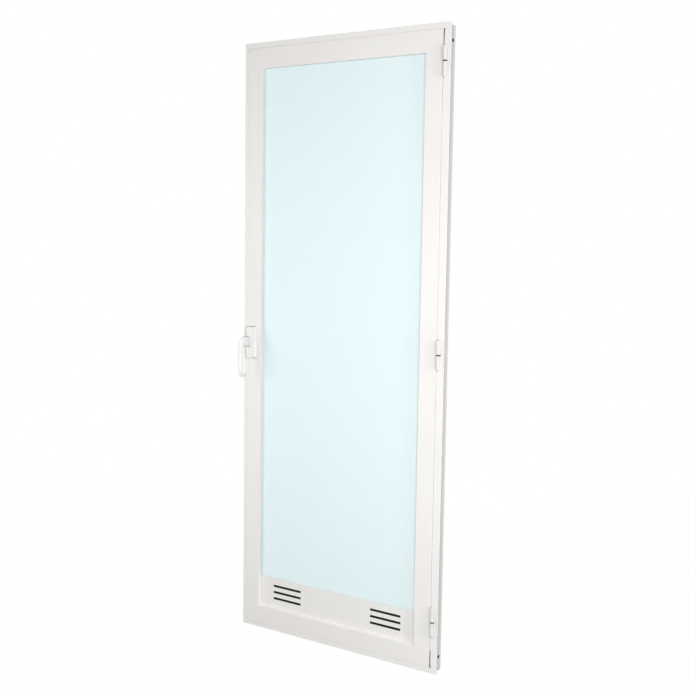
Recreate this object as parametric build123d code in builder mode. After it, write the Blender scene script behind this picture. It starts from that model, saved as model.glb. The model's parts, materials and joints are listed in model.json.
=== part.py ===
"""Ready-framed hinged door of white coated aluminium, with a clear sheet and a slotted vent.

Millimetres, +Z up, the front of the door faces -Y and the hinges are at +X. The origin is
the centre of the sill's underside, halfway through the depth of the frame.
"""
import os
from math import cos, pi, sin, tau

from build123d import *

os.makedirs("parts", exist_ok=True)

# Outer frame
DOOR_WIDTH = 714.0
DOOR_HEIGHT = 1818.0
FRAME_DEPTH = 34.0
FRAME_WALL = 1.5
FLANGE_OVERHANG = 6.0
FLANGE_THICK = 2.0
HINGE_SIGHT = 19.5
LOCK_SIGHT = 11.5
HEAD_SIGHT = 16.0
SILL_SIGHT = 15.0
FLANGE_CHAMFER = 0.6
STOP_THICK = 3.0
STOP_REACH = 10.0
GASKET_WIDTH = 5.0
GASKET_SETBACK = 0.5
GASKET_FOOT_WIDTH = 2.6
GASKET_NECK_WIDTH = 1.6
GASKET_NECK_DEPTH = 0.7
GASKET_FOOT_DEPTH = 0.8
JAMB_HOLE_RADIUS = 4.0
JAMB_HOLE_DEPTH = 20.0
JAMB_HOLE_FROM_END = 47.0

# Leaf
HINGE_GAP = 5.0
LOCK_GAP = 6.0
HEAD_GAP = 5.0
SILL_GAP = 5.0
LEAF_DEPTH = 23.0
LEAF_WALL = 1.6
HINGE_STILE_WIDTH = 54.5
LOCK_STILE_WIDTH = 45.5
TOP_RAIL_HEIGHT = 56.0
BOTTOM_RAIL_HEIGHT = 48.0
ARRIS = 0.8

# Glazing
REBATE_WIDTH = 10.0
REBATE_DEPTH = 14.0
PANE_THICK = 3.0
PANE_SEAL = 1.0
PANE_EDGE_SEAL = 2.0
BEAD_CHAMFER = 1.5

# Vent below the pane
VENT_HEIGHT = 97.0
VENT_FACE_THICK = 2.0
VENT_RIM = 4.0
VENT_SLOT_LENGTH = 106.0
VENT_SLOT_HEIGHT = 7.3
VENT_SLOT_PITCH = 20.0
VENT_SLOT_COUNT = 3
VENT_GROUP_OFFSET = 181.5
VENT_TOP_MARGIN = 25.0
BAFFLE_THICK = 1.0
VENT_BACK_THICK = 2.0

# Hinges
HINGE_FROM_TOP = 103.8
HINGE_FROM_BOTTOM = 154.0
MIDDLE_HINGE_RISE = 7.5
AXIS_FROM_GAP = 10.3
AXIS_FROM_FACE = 6.5
KNUCKLE_RADIUS = 6.5
KNUCKLE_LENGTH = 40.4
KNUCKLE_CHAMFER = 2.0
KNUCKLE_SPLIT = 3.8
PIN_RADIUS = 3.5
PIN_RUNNING_GAP = 0.05
PIN_LENGTH_IN_KNUCKLE = 34.0
PLATE_THICK = 1.5
PLATE_REACH = 20.0

# Handle and latch
SPINDLE_HEIGHT = 913.5
SPINDLE_FROM_EDGE = 22.5
SPINDLE_RADIUS = 4.0
SPINDLE_RUNNING_GAP = 0.05
SPINDLE_HOLE_RADIUS = 6.0
ESCUTCHEON_HEIGHT = 104.0
ESCUTCHEON_THICK = 3.0
ESCUTCHEON_DROP = 3.5
FRONT_PLATE_WIDTH = 44.0
FRONT_PLATE_FROM_EDGE = 1.5
BACK_PLATE_WIDTH = 33.0
BACK_PLATE_FROM_EDGE = 12.5
BOSS_WIDTH = 18.0
BOSS_PROUD = 29.0
BOSS_ROUND = 3.0
BOSS_CHAMFER = 1.2
LEVER_SIDE_GAP = 0.6
LEVER_SIDES = 20
LEVER_BAR_RADIUS = 7.0
LEVER_FRONT_PROUD = 66.0
LEVER_BACK_PROUD = 59.0
LEVER_DROP = 91.0
LEVER_ELBOW = 17.0
LEVER_ELBOW_STEPS = 5
LEVER_ROOT_HALF_HEIGHT = 16.5
LEVER_ROOT_HALF_WIDTH = 8.5
LEVER_TIP_BEND = 12.0
LEVER_TIP_STEPS = 3
LEVER_TIP_RUN = 9.0
LEVER_TIP_RADIUS = 5.0
LEVER_TIP_CROWN = 1.6
FACEPLATE_WIDTH = 14.0
FACEPLATE_HEIGHT = 120.0
FACEPLATE_THICK = 1.6
BOLT_WIDTH = 9.0
BOLT_HEIGHT = 18.0
BOLT_CLEARANCE = 0.3
LATCH_CASE_WIDTH = 32.0
LATCH_CASE_DEPTH = 15.0
LATCH_CASE_HEIGHT = 100.0
STRIKE_HEIGHT = 60.0
STRIKE_WIDTH = 14.0

# Places worked out from the sizes above
BOX_HALF = DOOR_WIDTH / 2 - FLANGE_OVERHANG
BOX_HEIGHT = DOOR_HEIGHT - 2 * FLANGE_OVERHANG
FRONT_Y = -FRAME_DEPTH / 2
LEAF_BACK_Y = FRONT_Y + LEAF_DEPTH
STOP_AT = FRAME_DEPTH - STOP_THICK
GASKET_SEAT = STOP_REACH - GASKET_SETBACK - GASKET_WIDTH / 2

HINGE_JAMB_X = DOOR_WIDTH / 2 - HINGE_SIGHT
LOCK_JAMB_X = -DOOR_WIDTH / 2 + LOCK_SIGHT
HEAD_Z = BOX_HEIGHT + FLANGE_OVERHANG - HEAD_SIGHT
SILL_Z = SILL_SIGHT - FLANGE_OVERHANG

LEAF_RIGHT = HINGE_JAMB_X - HINGE_GAP
LEAF_LEFT = LOCK_JAMB_X + LOCK_GAP
LEAF_TOP = HEAD_Z - HEAD_GAP
LEAF_BOTTOM = SILL_Z + SILL_GAP

SIGHT_RIGHT = LEAF_RIGHT - HINGE_STILE_WIDTH
SIGHT_LEFT = LEAF_LEFT + LOCK_STILE_WIDTH
SIGHT_TOP = LEAF_TOP - TOP_RAIL_HEIGHT
SIGHT_BOTTOM = LEAF_BOTTOM + BOTTOM_RAIL_HEIGHT
SIGHT_MID_X = (SIGHT_LEFT + SIGHT_RIGHT) / 2
SIGHT_WIDTH = SIGHT_RIGHT - SIGHT_LEFT
VENT_TOP = SIGHT_BOTTOM + VENT_HEIGHT
REBATE_THICK = PANE_THICK + 2 * PANE_SEAL
BEAD_Y = FRONT_Y + REBATE_DEPTH + REBATE_THICK
BEAD_THICK = LEAF_BACK_Y - BEAD_Y

AXIS_X = LEAF_RIGHT + AXIS_FROM_GAP
AXIS_Y = FRONT_Y - AXIS_FROM_FACE
SPINDLE_X = LEAF_LEFT + SPINDLE_FROM_EDGE
SPINDLE_Z = SPINDLE_HEIGHT - FLANGE_OVERHANG

# Sections are drawn on these planes: local x runs inwards from the edge, local y to the back.
RIGHT_DOWN = dict(x_dir=(-1, 0, 0), z_dir=(0, 0, -1))
LEFT_UP = dict(x_dir=(1, 0, 0), z_dir=(0, 0, 1))
TOP_ACROSS = dict(x_dir=(0, 0, -1), z_dir=(1, 0, 0))
BOTTOM_ACROSS = dict(x_dir=(0, 0, 1), z_dir=(-1, 0, 0))


def save(name, part):
    """Label one finished sub-part and write its file."""
    part.label = name
    export_step(part, f"parts/{name}.step")
    print(f"{name:26s} {part.volume / 1000:9.2f} cm3")


def slab(x0, x1, y0, y1, z0, z1):
    """A plain block between two corners."""
    with BuildPart() as block:
        with BuildSketch(Plane.XY.offset(z0)):
            with Locations(((x0 + x1) / 2, (y0 + y1) / 2)):
                Rectangle(x1 - x0, y1 - y0)
        extrude(amount=z1 - z0)
    return block.part


def frame_bar(start, across, length, sight, overrun, stop_from, stop_to):
    """One hollow frame bar with its front flange and its door stop.

    overrun carries the flange past both ends; the stop runs from stop_from to stop_to.
    """
    inner = sight - FLANGE_OVERHANG
    plane = Plane(origin=start, **across)
    with BuildPart() as bar:
        with BuildSketch(plane):
            Rectangle(inner, FRAME_DEPTH, align=(Align.MIN, Align.MIN))
            with Locations((inner / 2, FRAME_DEPTH / 2)):
                Rectangle(inner - 2 * FRAME_WALL, FRAME_DEPTH - 2 * FRAME_WALL,
                          mode=Mode.SUBTRACT)
        extrude(amount=length)
        with BuildSketch(plane.offset(stop_from)):
            with Locations((inner, STOP_AT)):
                Rectangle(STOP_REACH, STOP_THICK, align=(Align.MIN, Align.MIN))
            with Locations((inner + GASKET_SEAT, STOP_AT)):
                Rectangle(GASKET_NECK_WIDTH, GASKET_NECK_DEPTH, mode=Mode.SUBTRACT,
                          align=(Align.CENTER, Align.MIN))
            with Locations((inner + GASKET_SEAT, STOP_AT + GASKET_NECK_DEPTH)):
                Rectangle(GASKET_FOOT_WIDTH, GASKET_FOOT_DEPTH, mode=Mode.SUBTRACT,
                          align=(Align.CENTER, Align.MIN))
        extrude(amount=stop_to - stop_from)
        with BuildSketch(plane.offset(-overrun)):
            with BuildLine():
                Polyline((-FLANGE_OVERHANG + FLANGE_CHAMFER, 0), (inner, 0),
                         (inner, FLANGE_THICK), (-FLANGE_OVERHANG, FLANGE_THICK),
                         (-FLANGE_OVERHANG, FLANGE_CHAMFER), close=True)
            make_face()
        extrude(amount=length + 2 * overrun)
    return bar.part


def gasket(start, across, length, sight):
    """One D-shaped door gasket, whose foot fills the groove in the front of the stop."""
    seat = sight - FLANGE_OVERHANG + GASKET_SEAT
    with BuildPart() as strip:
        with BuildSketch(Plane(origin=start, **across)):
            with BuildLine():
                left = (seat - GASKET_WIDTH / 2, STOP_AT)
                right = (seat + GASKET_WIDTH / 2, STOP_AT)
                ThreePointArc(left, (seat, STOP_AT - GASKET_WIDTH / 2), right)
                Line(right, left)
            make_face()
            with Locations((seat, STOP_AT)):
                Rectangle(GASKET_NECK_WIDTH, GASKET_NECK_DEPTH,
                          align=(Align.CENTER, Align.MIN))
            with Locations((seat, STOP_AT + GASKET_NECK_DEPTH)):
                Rectangle(GASKET_FOOT_WIDTH, GASKET_FOOT_DEPTH,
                          align=(Align.CENTER, Align.MIN))
        extrude(amount=length)
    return strip.part


JAMB_START_RIGHT = (BOX_HALF, FRONT_Y, BOX_HEIGHT)
JAMB_START_LEFT = (-BOX_HALF, FRONT_Y, 0)
HEAD_START = (LOCK_JAMB_X, FRONT_Y, BOX_HEIGHT)
SILL_START = (HINGE_JAMB_X, FRONT_Y, 0)
BETWEEN_JAMBS = HINGE_JAMB_X - LOCK_JAMB_X
JAMB_HOLE_SPACING = DOOR_HEIGHT - 2 * JAMB_HOLE_FROM_END
JAMB_HOLE_Y = FRONT_Y + JAMB_HOLE_DEPTH

# Hinge jamb, with two fixing holes through to the door side
with BuildPart() as frame_hinge_jamb:
    add(frame_bar(JAMB_START_RIGHT, RIGHT_DOWN, BOX_HEIGHT, HINGE_SIGHT, FLANGE_OVERHANG,
                  BOX_HEIGHT - HEAD_Z, BOX_HEIGHT - SILL_Z))
    with BuildSketch(Plane(origin=(BOX_HALF, JAMB_HOLE_Y, BOX_HEIGHT / 2),
                           x_dir=(0, 1, 0), z_dir=(1, 0, 0))):
        with GridLocations(0, JAMB_HOLE_SPACING, 1, 2):
            Circle(JAMB_HOLE_RADIUS)
    extrude(amount=-(BOX_HALF - HINGE_JAMB_X), mode=Mode.SUBTRACT)
save("frame_hinge_jamb", frame_hinge_jamb.part)

# Lock jamb, with the same holes and a window for the strike
with BuildPart() as frame_lock_jamb:
    add(frame_bar(JAMB_START_LEFT, LEFT_UP, BOX_HEIGHT, LOCK_SIGHT, FLANGE_OVERHANG,
                  SILL_Z, HEAD_Z))
    with BuildSketch(Plane(origin=(-BOX_HALF, JAMB_HOLE_Y, BOX_HEIGHT / 2),
                           x_dir=(0, 1, 0), z_dir=(1, 0, 0))):
        with GridLocations(0, JAMB_HOLE_SPACING, 1, 2):
            Circle(JAMB_HOLE_RADIUS)
    extrude(amount=LOCK_JAMB_X + BOX_HALF, mode=Mode.SUBTRACT)
    with BuildSketch(Plane(origin=(LOCK_JAMB_X, FRONT_Y + LEAF_DEPTH / 2, SPINDLE_Z),
                           x_dir=(0, 1, 0), z_dir=(1, 0, 0))):
        Rectangle(STRIKE_WIDTH, STRIKE_HEIGHT)
    extrude(amount=-FRAME_WALL, mode=Mode.SUBTRACT)
save("frame_lock_jamb", frame_lock_jamb.part)

save("frame_head",
     frame_bar(HEAD_START, TOP_ACROSS, BETWEEN_JAMBS, HEAD_SIGHT, 0,
               STOP_REACH, BETWEEN_JAMBS - STOP_REACH))
save("frame_sill",
     frame_bar(SILL_START, BOTTOM_ACROSS, BETWEEN_JAMBS, SILL_SIGHT, 0,
               STOP_REACH, BETWEEN_JAMBS - STOP_REACH))

# Strike plate, flush in the window of the lock jamb
with BuildPart() as strike_plate:
    with BuildSketch(Plane(origin=(LOCK_JAMB_X, FRONT_Y + LEAF_DEPTH / 2, SPINDLE_Z),
                           x_dir=(0, 1, 0), z_dir=(1, 0, 0))):
        Rectangle(STRIKE_WIDTH, STRIKE_HEIGHT)
        Rectangle(BOLT_WIDTH, BOLT_HEIGHT, mode=Mode.SUBTRACT)
    extrude(amount=-FRAME_WALL)
save("strike_plate", strike_plate.part)

# Door gaskets: the upright ones run through, the level ones are as long as their stops
CLEAR_HEIGHT = HEAD_Z - SILL_Z
save("gasket_hinge_side",
     gasket((BOX_HALF, FRONT_Y, HEAD_Z), RIGHT_DOWN, CLEAR_HEIGHT, HINGE_SIGHT))
save("gasket_lock_side",
     gasket((-BOX_HALF, FRONT_Y, SILL_Z), LEFT_UP, CLEAR_HEIGHT, LOCK_SIGHT))
GASKET_ACROSS = BETWEEN_JAMBS - 2 * STOP_REACH
save("gasket_head",
     gasket((LOCK_JAMB_X + STOP_REACH, FRONT_Y, BOX_HEIGHT), TOP_ACROSS,
            GASKET_ACROSS, HEAD_SIGHT))
save("gasket_sill",
     gasket((HINGE_JAMB_X - STOP_REACH, FRONT_Y, 0), BOTTOM_ACROSS,
            GASKET_ACROSS, SILL_SIGHT))


def stile(start, across, width):
    """One upright of the leaf: a hollow extrusion with a glazing rebate at the back."""
    length = SIGHT_TOP - SIGHT_BOTTOM
    web = width - REBATE_WIDTH
    with BuildPart() as bar:
        with BuildSketch(Plane(origin=start, **across)):
            with BuildLine():
                Polyline((ARRIS, 0), (width - ARRIS, 0), (width, ARRIS),
                         (width, REBATE_DEPTH), (web, REBATE_DEPTH), (web, LEAF_DEPTH),
                         (ARRIS, LEAF_DEPTH), (0, LEAF_DEPTH - ARRIS), (0, ARRIS), close=True)
            make_face()
            with BuildLine():
                Polyline((LEAF_WALL, LEAF_WALL), (width - LEAF_WALL, LEAF_WALL),
                         (width - LEAF_WALL, REBATE_DEPTH - LEAF_WALL),
                         (web - LEAF_WALL, REBATE_DEPTH - LEAF_WALL),
                         (web - LEAF_WALL, LEAF_DEPTH - LEAF_WALL),
                         (LEAF_WALL, LEAF_DEPTH - LEAF_WALL), close=True)
            make_face(mode=Mode.SUBTRACT)
        extrude(amount=length)
    return bar.part


def rail(start, across, height):
    """One level member of the leaf: a channel open at the leaf's edge, closed at its ends."""
    length = LEAF_RIGHT - LEAF_LEFT
    plane = Plane(origin=start, **across)
    pocket = height - REBATE_WIDTH - LEAF_WALL
    first, second = LOCK_STILE_WIDTH, HINGE_STILE_WIDTH
    if across is BOTTOM_ACROSS:
        first, second = second, first
    with BuildPart() as bar:
        with BuildSketch(plane):
            with BuildLine():
                Polyline((ARRIS, 0), (height, 0), (height, LEAF_DEPTH), (ARRIS, LEAF_DEPTH),
                         (0, LEAF_DEPTH - ARRIS), (0, ARRIS), close=True)
            make_face()
        extrude(amount=length)
        ends = bar.faces().filter_by(Axis.X)
        chamfer(ends.edges().filter_by(Axis.Z).group_by(Axis.Y)[0], ARRIS)
        with BuildSketch(plane.offset(first)):
            with BuildLine():
                Polyline((height, 0), (height - ARRIS, 0), (height, ARRIS), close=True)
            make_face()
        extrude(amount=length - first - second, mode=Mode.SUBTRACT)
        with BuildSketch(plane.offset(first - REBATE_WIDTH)):
            with Locations((height - REBATE_WIDTH, REBATE_DEPTH)):
                Rectangle(REBATE_WIDTH, LEAF_DEPTH - REBATE_DEPTH,
                          align=(Align.MIN, Align.MIN))
        extrude(amount=length - first - second + 2 * REBATE_WIDTH, mode=Mode.SUBTRACT)
        with BuildSketch(plane.offset(LEAF_WALL)):
            with Locations((0, LEAF_WALL)):
                Rectangle(pocket, LEAF_DEPTH - 2 * LEAF_WALL, align=(Align.MIN, Align.MIN))
        extrude(amount=length - 2 * LEAF_WALL, mode=Mode.SUBTRACT)
    return bar.part


save("leaf_top_rail", rail((LEAF_LEFT, FRONT_Y, LEAF_TOP), TOP_ACROSS, TOP_RAIL_HEIGHT))
save("leaf_bottom_rail",
     rail((LEAF_RIGHT, FRONT_Y, LEAF_BOTTOM), BOTTOM_ACROSS, BOTTOM_RAIL_HEIGHT))
save("leaf_hinge_stile",
     stile((LEAF_RIGHT, FRONT_Y, SIGHT_TOP), RIGHT_DOWN, HINGE_STILE_WIDTH))

# Lock stile, cut for the latch faceplate and the spindle
SPINDLE_PLANE = Plane(origin=(SPINDLE_X, FRONT_Y, SPINDLE_Z), x_dir=(1, 0, 0), z_dir=(0, -1, 0))
EDGE_PLANE = Plane(origin=(LEAF_LEFT, FRONT_Y + LEAF_DEPTH / 2, SPINDLE_Z),
                   x_dir=(0, 1, 0), z_dir=(1, 0, 0))
with BuildPart() as leaf_lock_stile:
    add(stile((LEAF_LEFT, FRONT_Y, SIGHT_BOTTOM), LEFT_UP, LOCK_STILE_WIDTH))
    with BuildSketch(SPINDLE_PLANE):
        Circle(SPINDLE_HOLE_RADIUS)
    extrude(amount=-LEAF_DEPTH, mode=Mode.SUBTRACT)
    with BuildSketch(EDGE_PLANE):
        Rectangle(FACEPLATE_WIDTH, FACEPLATE_HEIGHT)
    extrude(amount=LEAF_WALL, mode=Mode.SUBTRACT)
save("leaf_lock_stile", leaf_lock_stile.part)

# Clear sheet, and the soft channel that holds its edge
REBATE_LEFT = SIGHT_LEFT - REBATE_WIDTH
REBATE_RIGHT = SIGHT_RIGHT + REBATE_WIDTH
REBATE_TOP = SIGHT_TOP + REBATE_WIDTH
PANE_SEAT_Z = VENT_TOP - REBATE_WIDTH
PANE_Y = FRONT_Y + REBATE_DEPTH + PANE_SEAL
pane = slab(REBATE_LEFT + PANE_EDGE_SEAL, REBATE_RIGHT - PANE_EDGE_SEAL,
            PANE_Y, PANE_Y + PANE_THICK,
            PANE_SEAT_Z + PANE_EDGE_SEAL, REBATE_TOP - PANE_EDGE_SEAL)
save("clear_pane", pane)

GLAZING_PLANE = Plane(origin=(SIGHT_MID_X, FRONT_Y + REBATE_DEPTH, (VENT_TOP + SIGHT_TOP) / 2),
                      x_dir=(1, 0, 0), z_dir=(0, 1, 0))
with BuildPart() as pane_gasket:
    with BuildSketch(GLAZING_PLANE):
        Rectangle(SIGHT_WIDTH + 2 * REBATE_WIDTH, REBATE_TOP - PANE_SEAT_Z)
        Rectangle(SIGHT_WIDTH, SIGHT_TOP - VENT_TOP, mode=Mode.SUBTRACT)
    extrude(amount=REBATE_THICK)
    add(pane, mode=Mode.SUBTRACT)
save("pane_gasket", pane_gasket.part)


def bead(start, across, length):
    """One glazing bead at the back, with its inner edge chamfered."""
    with BuildPart() as strip:
        with BuildSketch(Plane(origin=start, **across)):
            with BuildLine():
                Polyline((0, 0), (REBATE_WIDTH, 0),
                         (REBATE_WIDTH, BEAD_THICK - BEAD_CHAMFER),
                         (REBATE_WIDTH - BEAD_CHAMFER, BEAD_THICK), (0, BEAD_THICK),
                         close=True)
            make_face()
        extrude(amount=length)
    return strip.part


REBATE_BOTTOM = SIGHT_BOTTOM - REBATE_WIDTH
save("bead_hinge_side",
     bead((REBATE_RIGHT, BEAD_Y, REBATE_TOP), RIGHT_DOWN, REBATE_TOP - REBATE_BOTTOM))
save("bead_lock_side",
     bead((REBATE_LEFT, BEAD_Y, REBATE_BOTTOM), LEFT_UP, REBATE_TOP - REBATE_BOTTOM))
save("bead_top", bead((SIGHT_LEFT, BEAD_Y, REBATE_TOP), TOP_ACROSS, SIGHT_WIDTH))
save("bead_bottom", bead((SIGHT_RIGHT, BEAD_Y, REBATE_BOTTOM), BOTTOM_ACROSS, SIGHT_WIDTH))

# Vent: a tray with slots in its face, a baffle whose slots lie between them, and a back
SLOT_MID_Z = VENT_TOP - VENT_TOP_MARGIN - VENT_SLOT_PITCH * (VENT_SLOT_COUNT - 1) / 2
VENT_FACE_Y = FRONT_Y + REBATE_DEPTH - VENT_FACE_THICK
TONGUE_MID_Z = (REBATE_BOTTOM + PANE_SEAT_Z) / 2
TONGUE_HEIGHT = PANE_SEAT_Z - REBATE_BOTTOM
CAVITY_WIDTH = SIGHT_WIDTH - 2 * VENT_RIM
CAVITY_TOP = PANE_SEAT_Z - VENT_RIM
CAVITY_BOTTOM = SIGHT_BOTTOM + VENT_RIM
CAVITY_MID_Z = (CAVITY_TOP + CAVITY_BOTTOM) / 2


def facing_back(y, z):
    """A plane in the opening's middle whose sketches are extruded towards the back."""
    return Plane(origin=(SIGHT_MID_X, y, z), x_dir=(1, 0, 0), z_dir=(0, 1, 0))


with BuildPart() as vent_front:
    with BuildSketch(facing_back(VENT_FACE_Y, (SIGHT_BOTTOM + VENT_TOP) / 2)):
        Rectangle(SIGHT_WIDTH, VENT_HEIGHT)
    extrude(amount=VENT_FACE_THICK)
    with BuildSketch(facing_back(FRONT_Y + REBATE_DEPTH, TONGUE_MID_Z)):
        Rectangle(SIGHT_WIDTH + 2 * REBATE_WIDTH, TONGUE_HEIGHT)
    extrude(amount=REBATE_THICK)
    with BuildSketch(facing_back(FRONT_Y + REBATE_DEPTH, CAVITY_MID_Z)):
        Rectangle(CAVITY_WIDTH, CAVITY_TOP - CAVITY_BOTTOM)
    extrude(amount=REBATE_THICK, mode=Mode.SUBTRACT)
    with BuildSketch(facing_back(VENT_FACE_Y, SLOT_MID_Z)):
        with GridLocations(2 * VENT_GROUP_OFFSET, VENT_SLOT_PITCH, 2, VENT_SLOT_COUNT):
            Rectangle(VENT_SLOT_LENGTH, VENT_SLOT_HEIGHT)
    extrude(amount=VENT_FACE_THICK, mode=Mode.SUBTRACT)
save("vent_front", vent_front.part)

BAFFLE_Y = BEAD_Y - BAFFLE_THICK
with BuildPart() as vent_baffle:
    with BuildSketch(facing_back(BAFFLE_Y, CAVITY_MID_Z)):
        Rectangle(CAVITY_WIDTH, CAVITY_TOP - CAVITY_BOTTOM)
    extrude(amount=BAFFLE_THICK)
    with BuildSketch(facing_back(BAFFLE_Y, SLOT_MID_Z)):
        with GridLocations(2 * VENT_GROUP_OFFSET, VENT_SLOT_PITCH, 2, VENT_SLOT_COUNT - 1):
            Rectangle(VENT_SLOT_LENGTH, VENT_SLOT_HEIGHT)
    extrude(amount=BAFFLE_THICK, mode=Mode.SUBTRACT)
save("vent_baffle", vent_baffle.part)

with BuildPart() as vent_back:
    with BuildSketch(facing_back(BEAD_Y, (SIGHT_BOTTOM + VENT_TOP) / 2)):
        Rectangle(SIGHT_WIDTH, VENT_HEIGHT)
    extrude(amount=BEAD_THICK)
    with BuildSketch(facing_back(BEAD_Y, CAVITY_MID_Z)):
        Rectangle(CAVITY_WIDTH, CAVITY_TOP - CAVITY_BOTTOM)
    extrude(amount=BEAD_THICK - VENT_BACK_THICK, mode=Mode.SUBTRACT)
    with BuildSketch(facing_back(LEAF_BACK_Y, SLOT_MID_Z)):
        with GridLocations(2 * VENT_GROUP_OFFSET, VENT_SLOT_PITCH, 2, VENT_SLOT_COUNT):
            Rectangle(VENT_SLOT_LENGTH, VENT_SLOT_HEIGHT)
    extrude(amount=-VENT_BACK_THICK, mode=Mode.SUBTRACT)
save("vent_back", vent_back.part)


def frame_knuckle(split_z):
    """Lower knuckle: its plate is tangent to the barrel and lies on the jamb."""
    top = split_z - KNUCKLE_SPLIT / 2
    plate_x = HINGE_JAMB_X - PLATE_THICK
    with BuildPart() as knuckle:
        with BuildSketch(Plane(origin=(AXIS_X, AXIS_Y, top), z_dir=(0, 0, -1))):
            Circle(KNUCKLE_RADIUS)
        extrude(amount=KNUCKLE_LENGTH)
        chamfer(knuckle.edges().sort_by(Axis.Z)[0], KNUCKLE_CHAMFER)
        with BuildSketch(Plane.XY.offset(top)):
            with Locations((plate_x, AXIS_Y)):
                Rectangle(PLATE_THICK, AXIS_FROM_FACE + PLATE_REACH,
                          align=(Align.MIN, Align.MIN))
        extrude(amount=-(KNUCKLE_LENGTH - KNUCKLE_CHAMFER))
        with BuildSketch(Plane(origin=(AXIS_X, AXIS_Y, top), z_dir=(0, 0, -1))):
            Circle(PIN_RADIUS)
        extrude(amount=PIN_LENGTH_IN_KNUCKLE, mode=Mode.SUBTRACT)
    return knuckle.part


def leaf_knuckle(split_z):
    """Upper knuckle: a cranked plate reaches past the corner of the leaf to its edge."""
    bottom = split_z + KNUCKLE_SPLIT / 2
    with BuildPart() as knuckle:
        with BuildSketch(Plane(origin=(AXIS_X, AXIS_Y, bottom))):
            Circle(KNUCKLE_RADIUS)
        extrude(amount=KNUCKLE_LENGTH)
        chamfer(knuckle.edges().sort_by(Axis.Z)[-1], KNUCKLE_CHAMFER)
        with BuildSketch(Plane.XY.offset(bottom)):
            with Locations((LEAF_RIGHT, AXIS_Y)):
                Rectangle(AXIS_FROM_GAP, 2 * PLATE_THICK, align=(Align.MIN, Align.CENTER))
                Rectangle(PLATE_THICK, AXIS_FROM_FACE + PLATE_REACH,
                          align=(Align.MIN, Align.MIN))
        extrude(amount=KNUCKLE_LENGTH - KNUCKLE_CHAMFER)
        with BuildSketch(Plane(origin=(AXIS_X, AXIS_Y, bottom))):
            Circle(PIN_RADIUS + PIN_RUNNING_GAP)
        extrude(amount=PIN_LENGTH_IN_KNUCKLE + PIN_RUNNING_GAP, mode=Mode.SUBTRACT)
    return knuckle.part


def hinge_pin(split_z):
    """Pin fixed in the lower knuckle and turning in the upper one."""
    low = split_z - KNUCKLE_SPLIT / 2 - PIN_LENGTH_IN_KNUCKLE
    high = split_z + KNUCKLE_SPLIT / 2 + PIN_LENGTH_IN_KNUCKLE
    with BuildPart() as pin:
        with BuildSketch(Plane(origin=(AXIS_X, AXIS_Y, low))):
            Circle(PIN_RADIUS)
        extrude(amount=high - low)
    return pin.part


HINGE_SPLITS = {
    "top": BOX_HEIGHT + FLANGE_OVERHANG - HINGE_FROM_TOP,
    "middle": BOX_HEIGHT / 2 + MIDDLE_HINGE_RISE,
    "bottom": HINGE_FROM_BOTTOM - FLANGE_OVERHANG,
}
for place, split in HINGE_SPLITS.items():
    save(f"hinge_{place}_frame_knuckle", frame_knuckle(split))
    save(f"hinge_{place}_leaf_knuckle", leaf_knuckle(split))
    save(f"hinge_{place}_pin", hinge_pin(split))


def escutcheon(face_y, out, plate_from_edge, plate_width):
    """Handle plate with a raised housing that carries the spindle; out is -1 front, 1 back."""
    plate_x = LEAF_LEFT + plate_from_edge
    plate_z = SPINDLE_Z - ESCUTCHEON_DROP
    outwards = dict(x_dir=(1, 0, 0), z_dir=(0, out, 0))
    with BuildPart() as plate:
        with BuildSketch(Plane(origin=(plate_x, face_y, plate_z), **outwards)):
            Rectangle(plate_width, ESCUTCHEON_HEIGHT, align=(Align.MIN, Align.CENTER))
        extrude(amount=ESCUTCHEON_THICK)
        outer = plate.faces().sort_by(Axis.Y)[0 if out < 0 else -1]
        chamfer(outer.edges(), ESCUTCHEON_THICK / 3)
        with BuildSketch(Plane(origin=(SPINDLE_X, face_y, plate_z), **outwards)):
            RectangleRounded(BOSS_WIDTH, ESCUTCHEON_HEIGHT - 2 * ESCUTCHEON_THICK, BOSS_ROUND)
        extrude(amount=BOSS_PROUD)
        crown = plate.faces().sort_by(Axis.Y)[0 if out < 0 else -1]
        chamfer(crown.edges(), BOSS_CHAMFER)
        with BuildSketch(Plane(origin=(SPINDLE_X, face_y, SPINDLE_Z), **outwards)):
            Circle(SPINDLE_RADIUS + SPINDLE_RUNNING_GAP)
        extrude(amount=BOSS_PROUD, mode=Mode.SUBTRACT)
    return plate.part


save("handle_plate_front",
     escutcheon(FRONT_Y, -1, FRONT_PLATE_FROM_EDGE, FRONT_PLATE_WIDTH))
save("handle_plate_back",
     escutcheon(LEAF_BACK_Y, 1, BACK_PLATE_FROM_EDGE, BACK_PLATE_WIDTH))


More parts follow.
